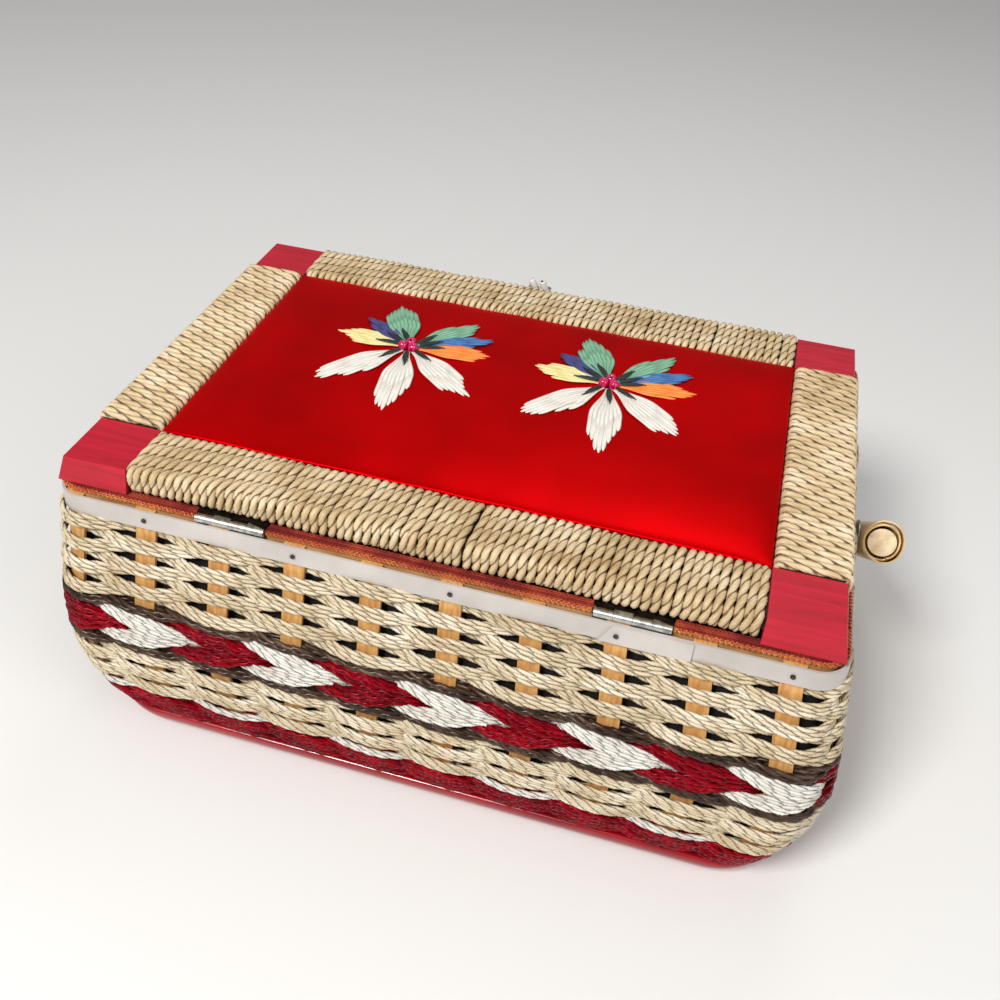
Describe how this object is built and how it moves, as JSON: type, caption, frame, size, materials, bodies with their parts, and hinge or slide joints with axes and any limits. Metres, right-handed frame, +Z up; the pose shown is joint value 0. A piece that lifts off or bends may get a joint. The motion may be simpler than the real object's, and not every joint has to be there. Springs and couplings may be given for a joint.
{
  "type": "wicker sewing box",
  "caption": "Barrel-sided wicker sewing box with a hinged, cord-wound lid, a padded satin top and a swinging carrying handle.",
  "frame": {"origin": "middle of the base's underside, on the surface that the box stands on", "axes": "+Z up; +X along the length; the hinges are on the +Y side, and the latch and the folded handle on the -Y side"},
  "size_m": [0.3336, 0.2166, 0.1375],
  "materials": {
    "crimson_lacquer": "glossy crimson lacquer on wood",
    "stake_wood": "plain tan chip wood",
    "natural_cord": "twisted natural straw cord",
    "white_cord": "bleached straw cord",
    "crimson_cord": "glossy dyed crimson cord",
    "brown_cord": "glossy dark brown cord",
    "lining_cloth": "satin over card",
    "white_vinyl": "translucent white vinyl",
    "nail_steel": "dark steel wire",
    "gimp_braid": "red-orange woven braid",
    "red_paint": "thin red paint over wood grain",
    "board_wood": "hardboard",
    "red_satin": "deep red satin over wadding",
    "hinge_steel": "nickelled steel",
    "core_cane": "pale cane core",
    "wrap_cane": "flat glossy cane wrap"
  },
  "bodies": {
    "basket": {"arrow_crimson_lower": "crimson_cord", "arrow_crimson_upper": "crimson_cord", "arrow_white_lower": "white_cord", "arrow_white_upper": "white_cord", "base_board": "crimson_lacquer", "edging_white": "white_cord", "foot_hoop": "crimson_lacquer", "gimp_braid": "gimp_braid", "hinge_leaf_basket_left": "hinge_steel", "hinge_leaf_basket_right": "hinge_steel", "hinge_pins": "hinge_steel", "inner_rim_hoop": "stake_wood", "latch_knob": "stake_wood", "liner_back": "lining_cloth", "liner_floor": "lining_cloth", "liner_front": "lining_cloth", "liner_left": "lining_cloth", "liner_right": "lining_cloth", "pivot_bolts": "hinge_steel", "pivot_washers": "hinge_steel", "rim_band": "white_vinyl", "rim_nails": "nail_steel", "twine_brown_lower": "brown_cord", "twine_brown_upper": "brown_cord", "twine_crimson": "crimson_cord", "wall_stakes_back": "stake_wood", "wall_stakes_front": "stake_wood", "wall_stakes_left": "stake_wood", "wall_stakes_right": "stake_wood", "weave_lower_1": "natural_cord", "weave_lower_2": "natural_cord", "weave_lower_3": "natural_cord", "weave_lower_4": "natural_cord", "weave_lower_5": "natural_cord", "weave_upper_1": "natural_cord", "weave_upper_2": "natural_cord", "weave_upper_3": "natural_cord", "weave_upper_4": "natural_cord", "weave_upper_5": "natural_cord", "weave_upper_6": "natural_cord", "weave_upper_7": "natural_cord"},
    "lid": {"hinge_leaf_lid_left": "hinge_steel", "hinge_leaf_lid_right": "hinge_steel", "latch_loop": "white_vinyl", "latch_staple": "nail_steel", "lid_board": "board_wood", "lid_lining": "lining_cloth", "lid_rail_back": "red_paint", "lid_rail_front": "red_paint", "lid_rail_left": "red_paint", "lid_rail_right": "red_paint", "rail_winding_back": "natural_cord", "rail_winding_front": "natural_cord", "rail_winding_left": "natural_cord", "rail_winding_right": "natural_cord", "satin_pad": "red_satin"},
    "handle": {"handle_core": "core_cane", "handle_wrap": "wrap_cane"}
  },
  "joints": [
    {"name": "lid_hinge", "type": "hinge", "parent": "basket", "child": "lid", "pos_m": [0, 0.09, 0.12295], "axis": [-1, 0, 0], "range_deg": [0, 150]},
    {"name": "handle_swing", "type": "hinge", "parent": "basket", "child": "handle", "pos_m": [0, -0.0102, 0.0945], "axis": [-1, 0, 0], "range_deg": [0, 135]}
  ]
}
